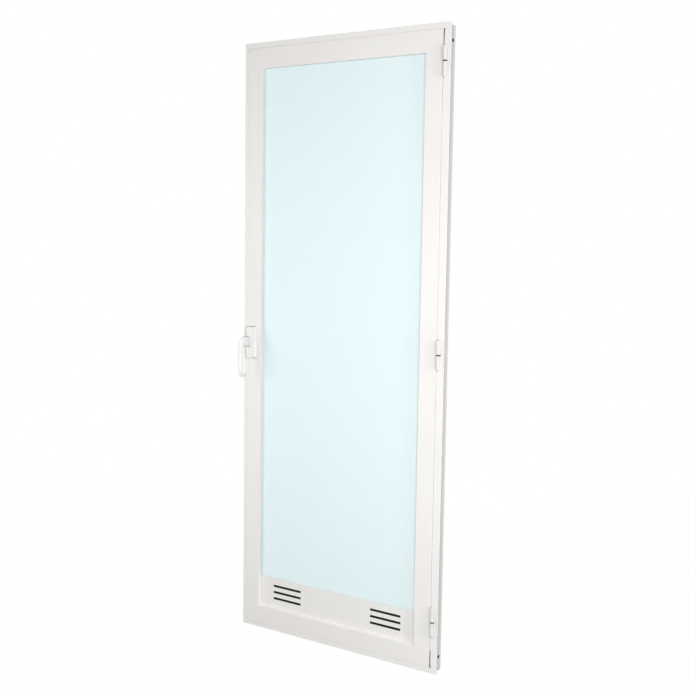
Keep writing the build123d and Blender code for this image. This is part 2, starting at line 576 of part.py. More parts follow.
def lever_stations(face_y, out, proud):
    """Stations down the lever: (y, z), the direction it heads in, half width, half height.

    An oval root leaves the housing, an elbow turns it down into the round bar that is
    gripped, and the foot of the bar hooks back towards the door.
    """
    bar_y = face_y + out * proud
    elbow_y = bar_y - out * LEVER_ELBOW
    elbow_z = SPINDLE_Z - LEVER_ELBOW
    foot_z = SPINDLE_Z - LEVER_DROP
    wide, tall = LEVER_ROOT_HALF_WIDTH, LEVER_ROOT_HALF_HEIGHT
    root_y = face_y + out * (BOSS_PROUD + LEVER_SIDE_GAP)
    stations = [(root_y, SPINDLE_Z, (0, out, 0), wide, tall)]
    for step in range(LEVER_ELBOW_STEPS + 1):
        share = step / LEVER_ELBOW_STEPS
        turn = share * pi / 2
        ease = share * share * (3 - 2 * share)
        stations.append((
            elbow_y + out * LEVER_ELBOW * sin(turn), elbow_z + LEVER_ELBOW * cos(turn),
            (0, out * cos(turn), -sin(turn)),
            wide + ease * (LEVER_BAR_RADIUS - wide), tall + ease * (LEVER_BAR_RADIUS - tall)))
    hook_y = bar_y - out * LEVER_TIP_BEND
    for step in range(LEVER_TIP_STEPS + 1):
        share = step / LEVER_TIP_STEPS
        turn = share * pi / 2
        radius = LEVER_BAR_RADIUS + share * (LEVER_TIP_RADIUS - LEVER_BAR_RADIUS)
        stations.append((
            hook_y + out * LEVER_TIP_BEND * cos(turn), foot_z - LEVER_TIP_BEND * sin(turn),
            (0, -out * sin(turn), -cos(turn)), radius, radius))
    tip_z = foot_z - LEVER_TIP_BEND
    tip_y = hook_y - out * LEVER_TIP_RUN
    stations.append((tip_y, tip_z, (0, -out, 0), LEVER_TIP_RADIUS, LEVER_TIP_RADIUS))
    crown = LEVER_TIP_RADIUS - LEVER_TIP_CROWN
    stations.append((tip_y - out * LEVER_TIP_CROWN, tip_z, (0, -out, 0), crown, crown))
    return stations


def lever(face_y, out, proud):
    """Hanging lever, a ruled loft through its stations, each an oval of many flats."""
    turns = [tau * side / LEVER_SIDES for side in range(LEVER_SIDES)]
    with BuildPart() as handle:
        for y, z, heading, half_width, half_height in lever_stations(face_y, out, proud):
            with BuildSketch(Plane(origin=(SPINDLE_X, y, z), x_dir=(1, 0, 0), z_dir=heading)):
                with BuildLine():
                    Polyline([(half_width * cos(turn), half_height * sin(turn))
                              for turn in turns], close=True)
                make_face()
        loft(ruled=True)
    return handle.part


save("lever_front", lever(FRONT_Y, -1, LEVER_FRONT_PROUD))
save("lever_back", lever(LEAF_BACK_Y, 1, LEVER_BACK_PROUD))

# Spindle, face to face with both lever roots
SPINDLE_FRONT = FRONT_Y - BOSS_PROUD - LEVER_SIDE_GAP
SPINDLE_BACK = LEAF_BACK_Y + BOSS_PROUD + LEVER_SIDE_GAP
with BuildPart() as spindle:
    with BuildSketch(Plane(origin=(SPINDLE_X, SPINDLE_FRONT, SPINDLE_Z), x_dir=(1, 0, 0),
                           z_dir=(0, 1, 0))):
        Circle(SPINDLE_RADIUS)
    extrude(amount=SPINDLE_BACK - SPINDLE_FRONT)
save("spindle", spindle.part)

# Latch: a case inside the lock stile, its faceplate in the edge and a drawn-back bolt
with BuildPart() as latch_faceplate:
    with BuildSketch(EDGE_PLANE):
        Rectangle(FACEPLATE_WIDTH, FACEPLATE_HEIGHT)
        Rectangle(BOLT_WIDTH + 2 * BOLT_CLEARANCE, BOLT_HEIGHT + 2 * BOLT_CLEARANCE,
                  mode=Mode.SUBTRACT)
    extrude(amount=FACEPLATE_THICK)
save("latch_faceplate", latch_faceplate.part)

with BuildPart() as latch_case:
    with BuildSketch(EDGE_PLANE.offset(FACEPLATE_THICK)):
        Rectangle(LATCH_CASE_DEPTH, LATCH_CASE_HEIGHT)
    extrude(amount=LATCH_CASE_WIDTH - FACEPLATE_THICK)
    with BuildSketch(SPINDLE_PLANE):
        Circle(SPINDLE_RADIUS + SPINDLE_RUNNING_GAP)
    extrude(amount=-LEAF_DEPTH, mode=Mode.SUBTRACT)
save("latch_case", latch_case.part)

with BuildPart() as latch_bolt:
    with BuildSketch(EDGE_PLANE):
        Rectangle(BOLT_WIDTH, BOLT_HEIGHT)
    extrude(amount=FACEPLATE_THICK)
save("latch_bolt", latch_bolt.part)
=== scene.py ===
"""Looks of the ready-framed door: coats, painted light and shade, satin pane, smooth levers,
fixings and soft trim.
"""
import json
from math import cos, pi, radians, sin, tau

import bmesh
import bpy
from mathutils import Matrix, Vector


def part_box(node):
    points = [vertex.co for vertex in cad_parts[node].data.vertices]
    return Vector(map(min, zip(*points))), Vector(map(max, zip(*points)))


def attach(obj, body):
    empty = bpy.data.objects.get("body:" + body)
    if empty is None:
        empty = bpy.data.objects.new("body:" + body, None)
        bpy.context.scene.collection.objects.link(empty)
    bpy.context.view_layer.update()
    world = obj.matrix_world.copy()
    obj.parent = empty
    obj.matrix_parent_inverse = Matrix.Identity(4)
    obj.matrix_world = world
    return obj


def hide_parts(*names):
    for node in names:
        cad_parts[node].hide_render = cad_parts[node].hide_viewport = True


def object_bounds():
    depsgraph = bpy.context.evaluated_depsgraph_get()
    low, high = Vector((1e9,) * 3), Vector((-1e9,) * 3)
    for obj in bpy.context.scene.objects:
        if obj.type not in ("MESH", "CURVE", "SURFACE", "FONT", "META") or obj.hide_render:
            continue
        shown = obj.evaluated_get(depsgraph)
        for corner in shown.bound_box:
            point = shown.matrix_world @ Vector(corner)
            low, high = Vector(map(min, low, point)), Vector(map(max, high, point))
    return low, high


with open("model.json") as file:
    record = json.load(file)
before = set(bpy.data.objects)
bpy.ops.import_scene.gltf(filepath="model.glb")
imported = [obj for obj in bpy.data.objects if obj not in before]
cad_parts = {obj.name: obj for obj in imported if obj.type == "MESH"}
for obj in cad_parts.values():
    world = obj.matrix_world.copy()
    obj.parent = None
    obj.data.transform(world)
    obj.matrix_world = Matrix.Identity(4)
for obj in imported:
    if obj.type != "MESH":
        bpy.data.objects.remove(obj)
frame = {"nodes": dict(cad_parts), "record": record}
NODES = frame["nodes"]
CAD_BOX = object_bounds()
MM = 0.001
BEYOND = 1.0  # a distance well past the part
HINGES = ("top", "middle", "bottom")
JAMBS = (("frame_hinge_jamb", 1), ("frame_lock_jamb", -1))  # with the way the outer side faces in x

# Camera, solved from the photograph
LENS = 55.88
SENSOR = 36.0
CLIP_END = 200
AZIMUTH = radians(34.25)
ELEVATION = radians(5.94)
ROLL = radians(0.829)
CAMERA_AT = Vector((1.8078, -2.6189, 1.2366))

# Finishes, and painted light and shade, as linear colours
COAT_LIGHT = (0.905, 0.885, 0.860)
COAT_DARK = (0.875, 0.852, 0.825)
# Painted light: the beads' coat made lighter than the frame's, so that the reveals beside the pane
# read lighter
LIT_BEAD = (0.965, 0.955, 0.940)
LIT_BEAD_LOW = (0.950, 0.940, 0.925)
# Painted shade on the jambs' outer sides, darkest next to the flange, where its shadow falls
OUTSIDE_SHADE_FRONT = (0.500, 0.500, 0.490)
OUTSIDE_SHADE_BACK = (0.740, 0.740, 0.725)
# Painted shade: near-black inside the jambs' hollow chambers
CHAMBER_SHADE = (0.010, 0.010, 0.010)
# Painted shade: the hinges' white coat made darker than the frame's, to take light off the knuckles
SHADED_HINGE_LIGHT = (0.790, 0.775, 0.755)
SHADED_HINGE_DARK = (0.765, 0.750, 0.730)
RESIN = (0.900, 0.895, 0.870)
# Painted shade: grey bands at the ends of the handle's housing and along the lever's root
HANDLE_SHADE_BAND = (0.420, 0.415, 0.405)
VENT_RESIN = (0.885, 0.868, 0.845)
# Near-black of the baffle, also painted as shade inside the vent's hollow
BAFFLE_AND_HOLLOW_SHADE = (0.012, 0.012, 0.012)
# Near-black of the hinge washers, also painted shade round the fixing holes
WASHER_AND_HOLE_SHADE = (0.015, 0.015, 0.015)
SEAL = (0.930, 0.925, 0.910)
GAP_SEAL = (0.905, 0.890, 0.868)
# Painted shade in the gap beside the hinges' ends, darkest at the door's end
GAP_SHADE_DARK = (0.030, 0.030, 0.028)
GAP_SHADE_LIGHT = (0.250, 0.245, 0.240)
STEEL = (0.560, 0.555, 0.540)
ZINC = (0.620, 0.615, 0.600)
PANE_TINT = (0.866, 0.968, 0.980)
FLOOR_SEEN = (0.880, 0.880, 0.880)
FLOOR_BOUNCE = (0.420, 0.420, 0.420)

# How matt, how deep in grain and how light-passing they are
COAT_ROUGHNESS = 0.42
HINGE_ROUGHNESS = 0.34
HANDLE_ROUGHNESS = 0.30
HANDLE_GRAIN = 0.2
VENT_ROUGHNESS = 0.42
VENT_GRAIN = 0.4
BAFFLE_ROUGHNESS = 0.80
BAFFLE_GRAIN = 0.3
WASHER_ROUGHNESS = 0.5
WASHER_GRAIN = 0.2
SEAL_ROUGHNESS = 0.75
STEEL_ROUGHNESS = 0.34
ZINC_ROUGHNESS = 0.30
FLOOR_ROUGHNESS = 0.9
PANE_ROUGHNESS = 0.42
PANE_PASSES = 0.5
PANE_IOR = 1.45
RESIN_SHADE = 0.97
SEAL_SHADE = 0.9
GAP_SEAL_SHADE = 0.96
METAL_SHADE = 0.82
NOISE_LOW, NOISE_HIGH = 0.3, 0.7  # between which nearly all of a noise's values lie

# Light: what the world gives to surfaces, and how white the floor is where it is seen
WORLD_LIGHT = 0.44
FLOOR_WHITE_NEAR = 0.97
FLOOR_NEAR = 0.5
FLOOR_FAR = 3.0
FLOOR_HALF = 40.0
LAMP_TARGET = Vector((0.1, 0, 0.95))
LAMPS = (  # name, place, size and watts
    ("key", (1.6, -1.7, 1.2), 0.6, 27.5),
    ("fill", (-0.9, -1.4, 1.0), 0.8, 7.5),
    ("side", (3.2, -0.9, 1.18), 0.8, 28),
    ("back", (-1.4, 2.6, 1.6), 1.8, 52),
)

# Sizes shared with the solids
FLANGE_OVERHANG = 6 * MM
FLANGE_THICK = 2 * MM
BAR_WALL = 1.5 * MM
VENT_FACE = 2 * MM
HOUSING_INSET = 3 * MM
HINGE_PLATE = 1.5 * MM
HOLE_RADIUS = 4 * MM
HOLE_DEPTH = 20 * MM
HOLE_FROM_END = 47 * MM

# Sizes of what is painted or rounded on the solids
HAIR = 0.2 * MM
ARRIS = 0.3 * MM
ARRIS_STEPS = 2
ARRIS_ANGLE = radians(40)
WELD_WITHIN = 0.00001
# Height of a band of painted shade at each end of the handle's housing
SHADE_BAND = 1.4 * MM
GRADE_AHEAD = 5 * MM
CHAMBER_LIP = 1 * MM

# Sockets of a Mix node that mixes colours
MIX_A, MIX_B, MIX_RESULT = 6, 7, 2


def any_ray(tree, kinds):
    """1 for a ray of any of the kinds, else 0."""
    path = tree.nodes.new("ShaderNodeLightPath")
    value = path.outputs[kinds[0]]
    for kind in kinds[1:]:
        either = tree.nodes.new("ShaderNodeMath")
        either.operation = "MAXIMUM"
        tree.links.new(value, either.inputs[0])
        tree.links.new(path.outputs[kind], either.inputs[1])
        value = either.outputs[0]
    return value


def seen_directly(tree):
    """1 for camera, glossy and transmission rays, else 0."""
    return any_ray(tree, ("Is Camera Ray", "Is Glossy Ray", "Is Transmission Ray"))


class Graph:
    """A material's node tree with one Principled shader, and short ways to add to it."""

    def __init__(self, name, colour, roughness, metallic=0.0):
        self.material = bpy.data.materials.new(name)
        self.material.use_nodes = True
        self.tree = self.material.node_tree
        self.shader = self.tree.nodes["Principled BSDF"]
        self.shader.inputs["Base Color"].default_value = (*colour, 1)
        self.shader.inputs["Roughness"].default_value = roughness
        self.shader.inputs["Metallic"].default_value = metallic
        self.place = self.node("ShaderNodeTexCoord").outputs["Object"]

    def node(self, kind, **values):
        made = self.tree.nodes.new(kind)
        for key, value in values.items():
            setattr(made, key, value)
        return made

    def link(self, source, target):
        self.tree.links.new(source, target)

    def stretched(self, scale):
        """Object coordinates scaled per axis, for grain that runs one way."""
        mapping = self.node("ShaderNodeMapping")
        mapping.inputs["Scale"].default_value = scale
        self.link(self.place, mapping.inputs["Vector"])
        return mapping.outputs["Vector"]

    def noise(self, scale, detail=2.0, rough=0.5, place=None):
        made = self.node("ShaderNodeTexNoise")
        made.inputs["Scale"].default_value = scale
        made.inputs["Detail"].default_value = detail
        made.inputs["Roughness"].default_value = rough
        self.link(place or self.place, made.inputs["Vector"])
        return made.outputs["Fac"]

    def spread(self, value, start, end, low=0.0, high=1.0, **settings):
        """The value, mapped so that start to end becomes low to high."""
        made = self.node("ShaderNodeMapRange", **settings)
        made.inputs["From Min"].default_value = start
        made.inputs["From Max"].default_value = end
        made.inputs["To Min"].default_value = low
        made.inputs["To Max"].default_value = high
        self.link(value, made.inputs["Value"])
        return made.outputs["Result"]

    def tinted(self, factor, dark, light):
        """Base colour that runs from dark to light with a factor."""
        ramp = self.node("ShaderNodeValToRGB")
        ends = ramp.color_ramp.elements
        ends[0].position, ends[1].position = NOISE_LOW, NOISE_HIGH
        ends[0].color, ends[1].color = (*dark, 1), (*light, 1)
        self.link(factor, ramp.inputs["Fac"])
        self.link(ramp.outputs["Color"], self.shader.inputs["Base Color"])

    def varied_roughness(self, factor, low, high):
        self.link(self.spread(factor, NOISE_LOW, NOISE_HIGH, low, high),
                  self.shader.inputs["Roughness"])

    def compare(self, value, operation, limit):
        """1 where the value passes GREATER_THAN or LESS_THAN the limit."""
        test = self.node("ShaderNodeMath", operation=operation)
        test.inputs[1].default_value = limit
        self.link(value, test.inputs[0])
        return test.outputs[0]

    def product(self, values):
        """All the values multiplied together."""
        result = values[0]
        for value in values[1:]:
            step = self.node("ShaderNodeMath", operation="MULTIPLY")
            self.link(result, step.inputs[0])
            self.link(value, step.inputs[1])
            result = step.outputs[0]
        return result

    def axes(self):
        """The X, Y and Z of the place on the object."""
        made = self.node("ShaderNodeSeparateXYZ")
        self.link(self.place, made.inputs["Vector"])
        return made.outputs

    def inside(self, low, high):
        """1 inside the box between two corners of the object, else 0."""
        axes = self.axes()
        tests = []
        for i, name in enumerate("XYZ"):
            tests.append(self.compare(axes[name], "GREATER_THAN", low[i]))
            tests.append(self.compare(axes[name], "LESS_THAN", high[i]))
        return self.product(tests)

    def graded(self, axis, ends, colours):
        """A colour that runs between two along one axis of the object."""
        mixed = self.node("ShaderNodeMix", data_type="RGBA")
        mixed.inputs[MIX_A].default_value = (*colours[0], 1)
        mixed.inputs[MIX_B].default_value = (*colours[1], 1)
        self.link(self.spread(self.axes()[axis], *ends), mixed.inputs[0])
        return mixed.outputs[MIX_RESULT]

    def repainted(self, mask, colour):
        """Puts another colour, or a graded one, over the base colour where the mask is 1."""
        base = self.shader.inputs["Base Color"]
        mixed = self.node("ShaderNodeMix", data_type="RGBA")
        if base.is_linked:
            self.link(base.links[0].from_socket, mixed.inputs[MIX_A])
        else:
            mixed.inputs[MIX_A].default_value = base.default_value
        if isinstance(colour, tuple):
            mixed.inputs[MIX_B].default_value = (*colour, 1)
        else:
            self.link(colour, mixed.inputs[MIX_B])
        self.link(mask, mixed.inputs[0])
        self.link(mixed.outputs[MIX_RESULT], base)

    def bump(self, height, distance, strength):
        made = self.node("ShaderNodeBump")
        made.inputs["Distance"].default_value = distance
        made.inputs["Strength"].default_value = strength
        self.link(height, made.inputs["Height"])
        self.link(made.outputs["Normal"], self.shader.inputs["Normal"])

    def give_way(self, factor, other):
        """Shows another shader in place of this one by a factor."""
        mixed = self.node("ShaderNodeMixShader")
        self.link(factor, mixed.inputs["Fac"])
        self.link(self.shader.outputs[0], mixed.inputs[1])
        self.link(other.outputs[0], mixed.inputs[2])
        self.link(mixed.outputs[0], self.tree.nodes["Material Output"].inputs["Surface"])


def shaded(colour, share):
    """The colour made darker, to a share of itself."""
    return tuple(c * share for c in colour)


def coat_graph(name, dark, light, roughness):
    """Satin powder coat: faint cloudy tone, fine orange peel."""
    graph = Graph(name, light, roughness)
    graph.tinted(graph.noise(scale=5.0, detail=4.0), dark, light)
    graph.varied_roughness(graph.noise(scale=60.0, detail=3.0), roughness - 0.06, roughness + 0.06)
    graph.bump(graph.noise(scale=900.0, detail=2.0, rough=0.6), distance=0.00005, strength=0.35)
    graph.shader.inputs["Coat Weight"].default_value = 0.15
    graph.shader.inputs["Coat Roughness"].default_value = 0.25
    return graph


def jamb_faces(node, side):
    """Where a jamb's inner and outer faces are in x."""
    low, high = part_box(node)
    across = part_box("frame_head")
    inner_x = across[1].x if side > 0 else across[0].x
    return inner_x, side * (max(abs(low.x), abs(high.x)) - FLANGE_OVERHANG)


def jamb_coat(node, side):
    """Coat of a jamb: painted shade on the outer side, darker towards the flange, and a painted
    near-black shade in its chamber.
    """
    graph = coat_graph(f"{node}_coat", COAT_DARK, COAT_LIGHT, COAT_ROUGHNESS)
    low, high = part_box(node)
    inner_x, outer_x = jamb_faces(node, side)
    near, far = sorted((outer_x - side * HAIR, outer_x + side * HAIR))
    # Painted shade on the outer side, graded darker towards the flange
    outside_shade = graph.graded("Y", ((low.y + high.y) / 2 - GRADE_AHEAD, high.y),
                           (OUTSIDE_SHADE_FRONT, OUTSIDE_SHADE_BACK))
    graph.repainted(graph.inside((near, low.y + FLANGE_THICK + HAIR, low.z - BEYOND),
                                 (far, high.y + BEYOND, high.z + BEYOND)), outside_shade)
    # Painted near-black shade on the walls of the chamber
    near, far = sorted((inner_x + side * (BAR_WALL - HAIR), outer_x - side * HAIR))
    graph.repainted(graph.inside((near, low.y + BAR_WALL - HAIR, low.z + CHAMBER_LIP),
                                 (far, high.y - BAR_WALL + HAIR, high.z - CHAMBER_LIP)),
                    CHAMBER_SHADE)
    return graph.material


def resin_graph(name, colour, roughness, grain):
    """Moulded resin: even colour, a fine moulded grain and slightly uneven gloss."""
    graph = Graph(name, colour, roughness)
    graph.tinted(graph.noise(scale=25.0, detail=3.0), shaded(colour, RESIN_SHADE), colour)
    graph.varied_roughness(graph.noise(scale=140.0, detail=2.0), roughness - 0.05, roughness + 0.05)
    graph.bump(graph.noise(scale=1500.0, detail=2.0), distance=0.00003, strength=grain)
    return graph


def shade_banded_resin(node, bands, y_span):
    """White resin of a handle piece, with painted shade in each band of heights in y_span."""
    graph = resin_graph(f"{node}_resin", RESIN, HANDLE_ROUGHNESS, HANDLE_GRAIN)
    low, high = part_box(node)
    for below, above in bands:
        graph.repainted(graph.inside((low.x - BEYOND, y_span[0], below),
                                     (high.x + BEYOND, y_span[1], above)), HANDLE_SHADE_BAND)
    return graph.material


def handle_material(node):
    """White resin with a band of painted shade at each end of the housing, in front of its plate.
    """
    low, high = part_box(node)
    top, foot = high.z - HOUSING_INSET, low.z + HOUSING_INSET
    front_y, back_y = low.y - BEYOND, high.y + BEYOND
    if low.y < 0:
        back_y = high.y - HOUSING_INSET - HAIR
    else:
        front_y = low.y + HOUSING_INSET + HAIR
    return shade_banded_resin(node, ((top - SHADE_BAND, top + HAIR), (foot - HAIR, foot + SHADE_BAND)),
                        (front_y, back_y))


def vent_material():
    """White resin outside; the hollow behind the slots is painted near-black, as painted shade."""
    graph = resin_graph("vent_plastic", VENT_RESIN, VENT_ROUGHNESS, VENT_GRAIN)
    front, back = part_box("vent_front")[0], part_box("vent_back")[1]
    # Painted shade: the inside of the hollow in the baffle's near-black
    graph.repainted(graph.inside((front.x, front.y + VENT_FACE / 2, front.z),
                                 (back.x, back.y - VENT_FACE / 2, back.z)), BAFFLE_AND_HOLLOW_SHADE)
    return graph.material


def seal_graph(name, colour, shade=SEAL_SHADE):
    """Soft extruded seal: matt, with a faint mottle."""
    graph = Graph(name, colour, SEAL_ROUGHNESS)
    graph.tinted(graph.noise(scale=40.0, detail=3.0), shaded(colour, shade), colour)
    graph.bump(graph.noise(scale=700.0, detail=2.0), distance=0.00005, strength=0.3)
    graph.shader.inputs["Sheen Weight"].default_value = 0.15
    return graph


def gap_shade_material(name, inner_z, end_z):
    """Painted shade in the gap: a dark strip, darkest at the door's end."""
    graph = seal_graph(name, GAP_SHADE_LIGHT)
    graph.link(graph.graded("Z", (inner_z, end_z), (GAP_SHADE_LIGHT, GAP_SHADE_DARK)),
               graph.shader.inputs["Base Color"])
    return graph.material


def metal_material(name, colour, roughness, grain_scale):
    """Bare metal with fine grain along one axis."""
    graph = Graph(name, colour, roughness, metallic=1.0)
    grain = graph.noise(scale=600.0, detail=3.0, rough=0.6, place=graph.stretched(grain_scale))
    graph.tinted(grain, shaded(colour, METAL_SHADE), colour)
    graph.varied_roughness(grain, roughness - 0.08, roughness + 0.1)
    graph.bump(grain, distance=0.00002, strength=0.4)
    return graph.material


def pane_material():
    """Pale blue sheet with a satin face, which passes half the light and blurs what is behind."""
    graph = Graph("clear_sheet", PANE_TINT, PANE_ROUGHNESS)
    graph.shader.inputs["Transmission Weight"].default_value = PANE_PASSES
    graph.shader.inputs["IOR"].default_value = PANE_IOR
    graph.bump(graph.noise(scale=6.0, detail=1.0), distance=0.0001, strength=0.02)
    open_way = graph.node("ShaderNodeBsdfTransparent")
    open_way.inputs["Color"].default_value = (*PANE_TINT, 1)
    graph.give_way(any_ray(graph.tree, ("Is Shadow Ray", "Is Diffuse Ray")), open_way)
    return graph.material


COAT = coat_graph("white_coat", COAT_DARK, COAT_LIGHT, COAT_ROUGHNESS).material
# Painted shade: the hinges take the white coat made darker
SHADED_HINGE_COAT = coat_graph("hinge_white", SHADED_HINGE_DARK, SHADED_HINGE_LIGHT, HINGE_ROUGHNESS).material
# Painted light: the beads take the white coat made lighter
LIT_BEAD_COAT = coat_graph("bead_painted_light", LIT_BEAD_LOW, LIT_BEAD, COAT_ROUGHNESS).material
RESIN_WHITE = resin_graph("handle_white", RESIN, HANDLE_ROUGHNESS, HANDLE_GRAIN).material
BAFFLE_DARK = resin_graph("vent_dark", BAFFLE_AND_HOLLOW_SHADE, BAFFLE_ROUGHNESS, BAFFLE_GRAIN).material
DARK_WASHER_AND_HOLE_SHADE = resin_graph("washer_and_hole_shade", WASHER_AND_HOLE_SHADE, WASHER_ROUGHNESS, WASHER_GRAIN).material
VENT_WHITE = vent_material()
PALE_SEAL = seal_graph("pale_seal", SEAL).material
GAP_STRIP = seal_graph("gap_strip", GAP_SEAL, GAP_SEAL_SHADE).material
BRUSHED = metal_material("brushed_steel", STEEL, STEEL_ROUGHNESS, (1, 1, 0.02))
ZINC_PLATE = metal_material("zinc_screw", ZINC, ZINC_ROUGHNESS, (1, 1, 1))
PANE = pane_material()

SLOT_MATERIALS = {
    "white_coat": COAT,
    "hinge_white": SHADED_HINGE_COAT,
    "handle_white": RESIN_WHITE,
    "vent_plastic": VENT_WHITE,
    "vent_dark": BAFFLE_DARK,
    "clear_sheet": PANE,
    "pale_seal": PALE_SEAL,
    "brushed_steel": BRUSHED,
}


def node_slots():
    """The record's material slot of each CAD node."""
    return {part["node"]: part["material_slot"] for part in frame["record"]["subparts"]}


def soften(obj):
    """Rounds the arrises of a CAD node without changing its mesh."""
    weld = obj.modifiers.new("weld", "WELD")
    weld.merge_threshold = WELD_WITHIN
    bevel = obj.modifiers.new("arris", "BEVEL")
    bevel.width = ARRIS
    bevel.segments = ARRIS_STEPS
    bevel.limit_method = "ANGLE"
    bevel.angle_limit = ARRIS_ANGLE
    bevel.harden_normals = True


def dress_nodes():
    """Gives each CAD node its finish, and soft arrises where they show."""
    for name, slot in node_slots().items():
        obj = NODES[name]
        obj.data.materials.clear()
        obj.data.materials.append(LIT_BEAD_COAT if name.startswith("bead_") else SLOT_MATERIALS[slot])
        if slot in ("white_coat", "vent_plastic"):
            soften(obj)
    for node in ("handle_plate_front", "handle_plate_back"):
        # The housings get bands of painted shade at their ends
        NODES[node].data.materials[0] = handle_material(node)
    for node, side in JAMBS:
        # The jambs get painted shade on their outer sides and in their chambers
        NODES[node].data.materials[0] = jamb_coat(node, side)


def mesh_object(name, bm, material, smooth=False):
    """A finished object from a bmesh."""
    bmesh.ops.recalc_face_normals(bm, faces=bm.faces)
    mesh = bpy.data.meshes.new(name)
    bm.to_mesh(mesh)
    bm.free()
    mesh.materials.append(material)
    for polygon in mesh.polygons:
        polygon.use_smooth = smooth
    obj = bpy.data.objects.new(name, mesh)
    bpy.context.scene.collection.objects.link(obj)
    return obj


def tube(rings):
    """A bmesh of closed rings of the same count, joined into a tube with flat ends."""
    bm = bmesh.new()
    made = [[bm.verts.new(p) for p in ring] for ring in rings]
    count = len(made[0])
    for low, high in zip(made, made[1:]):
        for i in range(count):
            j = (i + 1) % count
            bm.faces.new((low[i], low[j], high[j], high[i]))
    bm.faces.new(made[0][::-1])
    bm.faces.new(made[-1])
    return bm


def across_axis(axis):
    """Two directions square to an axis and to each other."""
    side = axis.orthogonal().normalized()
    return side, axis.cross(side)


def box_bounds(names):
    """Lowest and highest corner of several CAD nodes together."""
    lows, highs = zip(*(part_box(name) for name in names))
    low = Vector(min(c[i] for c in lows) for i in range(3))
    high = Vector(max(c[i] for c in highs) for i in range(3))
    return low, high


# Levers: the same line as in the solids, with more stations and a rounded end
LEVER_SIDES = 40
ROOT_HALF_HEIGHT = 16.5 * MM
ROOT_HALF_WIDTH = 8.5 * MM
ROOT_EDGE = 0.6 * MM
ROOT_RUN = 22 * MM
# Painted shade along the top and the foot of the lever's root: its height, and how far behind the
# root it starts
ROOT_SHADE_BAND = 1.8 * MM
SHADE_BAND_BEHIND = 1 * MM
ELBOW = 17.0 * MM
ELBOW_STEPS = 16
BAR_RADIUS = 7.0 * MM
BAR_STEPS = 8
TIP_BEND = 12.0 * MM
TIP_BEND_STEPS = 12
TIP_RUN = 9.0 * MM
TIP_RADIUS = 5.0 * MM
TIP_CROWN = 1.6 * MM
TIP_CROWN_STEPS = 8


def lever_rings(node, out):
    """Rings of the lever in node; out is -1 for the front one and 1 for the back one."""
    low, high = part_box(node)
    bar_y = (low.y if out < 0 else high.y) - out * BAR_RADIUS
    root_y = high.y if out < 0 else low.y
    middle_x = (low.x + high.x) / 2
    spindle_z = high.z - ROOT_HALF_HEIGHT
    foot_z = low.z + TIP_RADIUS + TIP_BEND
    rings = []

    def ring(y, z, turn, half_width, half_height):
        side = Vector((0, -out * sin(turn), -cos(turn)))
        centre = Vector((middle_x, y, z))
        points = []
        for i in range(LEVER_SIDES):
            angle = tau * i / LEVER_SIDES
            points.append(centre + Vector((half_width * cos(angle), 0, 0))
                          + half_height * sin(angle) * side)
        rings.append(points)

    ring(root_y, spindle_z, 0, ROOT_HALF_WIDTH - ROOT_EDGE, ROOT_HALF_HEIGHT - ROOT_EDGE)
    ring(root_y + out * ROOT_EDGE, spindle_z, 0, ROOT_HALF_WIDTH, ROOT_HALF_HEIGHT)
    elbow_y = bar_y - out * ELBOW
    elbow_z = spindle_z - ELBOW
    for step in range(ELBOW_STEPS + 1):
        share = step / ELBOW_STEPS
        turn = share * pi / 2
        ease = share * share * (3 - 2 * share)
        ring(elbow_y + out * ELBOW * sin(turn), elbow_z + ELBOW * cos(turn), turn,
             ROOT_HALF_WIDTH + ease * (BAR_RADIUS - ROOT_HALF_WIDTH),
             ROOT_HALF_HEIGHT + ease * (BAR_RADIUS - ROOT_HALF_HEIGHT))
    for step in range(1, BAR_STEPS):
        share = step / BAR_STEPS
        ring(bar_y, elbow_z + share * (foot_z - elbow_z), pi / 2, BAR_RADIUS, BAR_RADIUS)
    hook_y = bar_y - out * TIP_BEND
    for step in range(TIP_BEND_STEPS + 1):
        share = step / TIP_BEND_STEPS
        turn = share * pi / 2
        radius = BAR_RADIUS + share * (TIP_RADIUS - BAR_RADIUS)
        ring(hook_y + out * TIP_BEND * cos(turn), foot_z - TIP_BEND * sin(turn),
             pi / 2 + turn, radius, radius)
    tip_y = hook_y - out * TIP_RUN
    tip_z = foot_z - TIP_BEND
    for step in range(1, TIP_CROWN_STEPS):
        turn = step / TIP_CROWN_STEPS * pi / 2
        radius = TIP_RADIUS * cos(turn)
        ring(tip_y - out * TIP_CROWN * sin(turn), tip_z, pi, radius, radius)
    return rings


def lever_material(node, out):
    """White resin with painted shade in a line along the top and the foot of the lever's root."""
    low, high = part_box(node)
    root_y = high.y if out < 0 else low.y
    foot_z = high.z - 2 * ROOT_HALF_HEIGHT
    y_span = sorted((root_y - out * SHADE_BAND_BEHIND, root_y + out * ROOT_RUN))
    return shade_banded_resin(node, ((high.z - ROOT_SHADE_BAND, high.z + HAIR),
                               (foot_z - HAIR, foot_z + ROOT_SHADE_BAND)), y_span)


def make_lever(node, out):
    """A smooth hanging lever in place of the solid one."""
    rings = lever_rings(node, out)
    lever = mesh_object(f"smooth_{node}", tube(rings), lever_material(node, out), smooth=True)
    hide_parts(node)
    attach(lever, "lever")


def turned_ring(name, profile, centre, axis, sides):
    """A dark turned ring: profile is a closed list of (radius, height) along the axis."""
    axis = Vector(axis)
    side, other = across_axis(axis)
    bm = bmesh.new()
    rings = []
    for i in range(sides):
        angle = tau * i / sides
        outward = cos(angle) * side + sin(angle) * other
        rings.append([bm.verts.new(Vector(centre) + axis * height + radius * outward)
                      for radius, height in profile])
    for low, high in zip(rings, rings[1:] + rings[:1]):
        for i in range(len(profile)):
            j = (i + 1) % len(profile)
            bm.faces.new((low[i], low[j], high[j], high[i]))
    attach(mesh_object(name, bm, DARK_WASHER_AND_HOLE_SHADE, smooth=True), "frame")


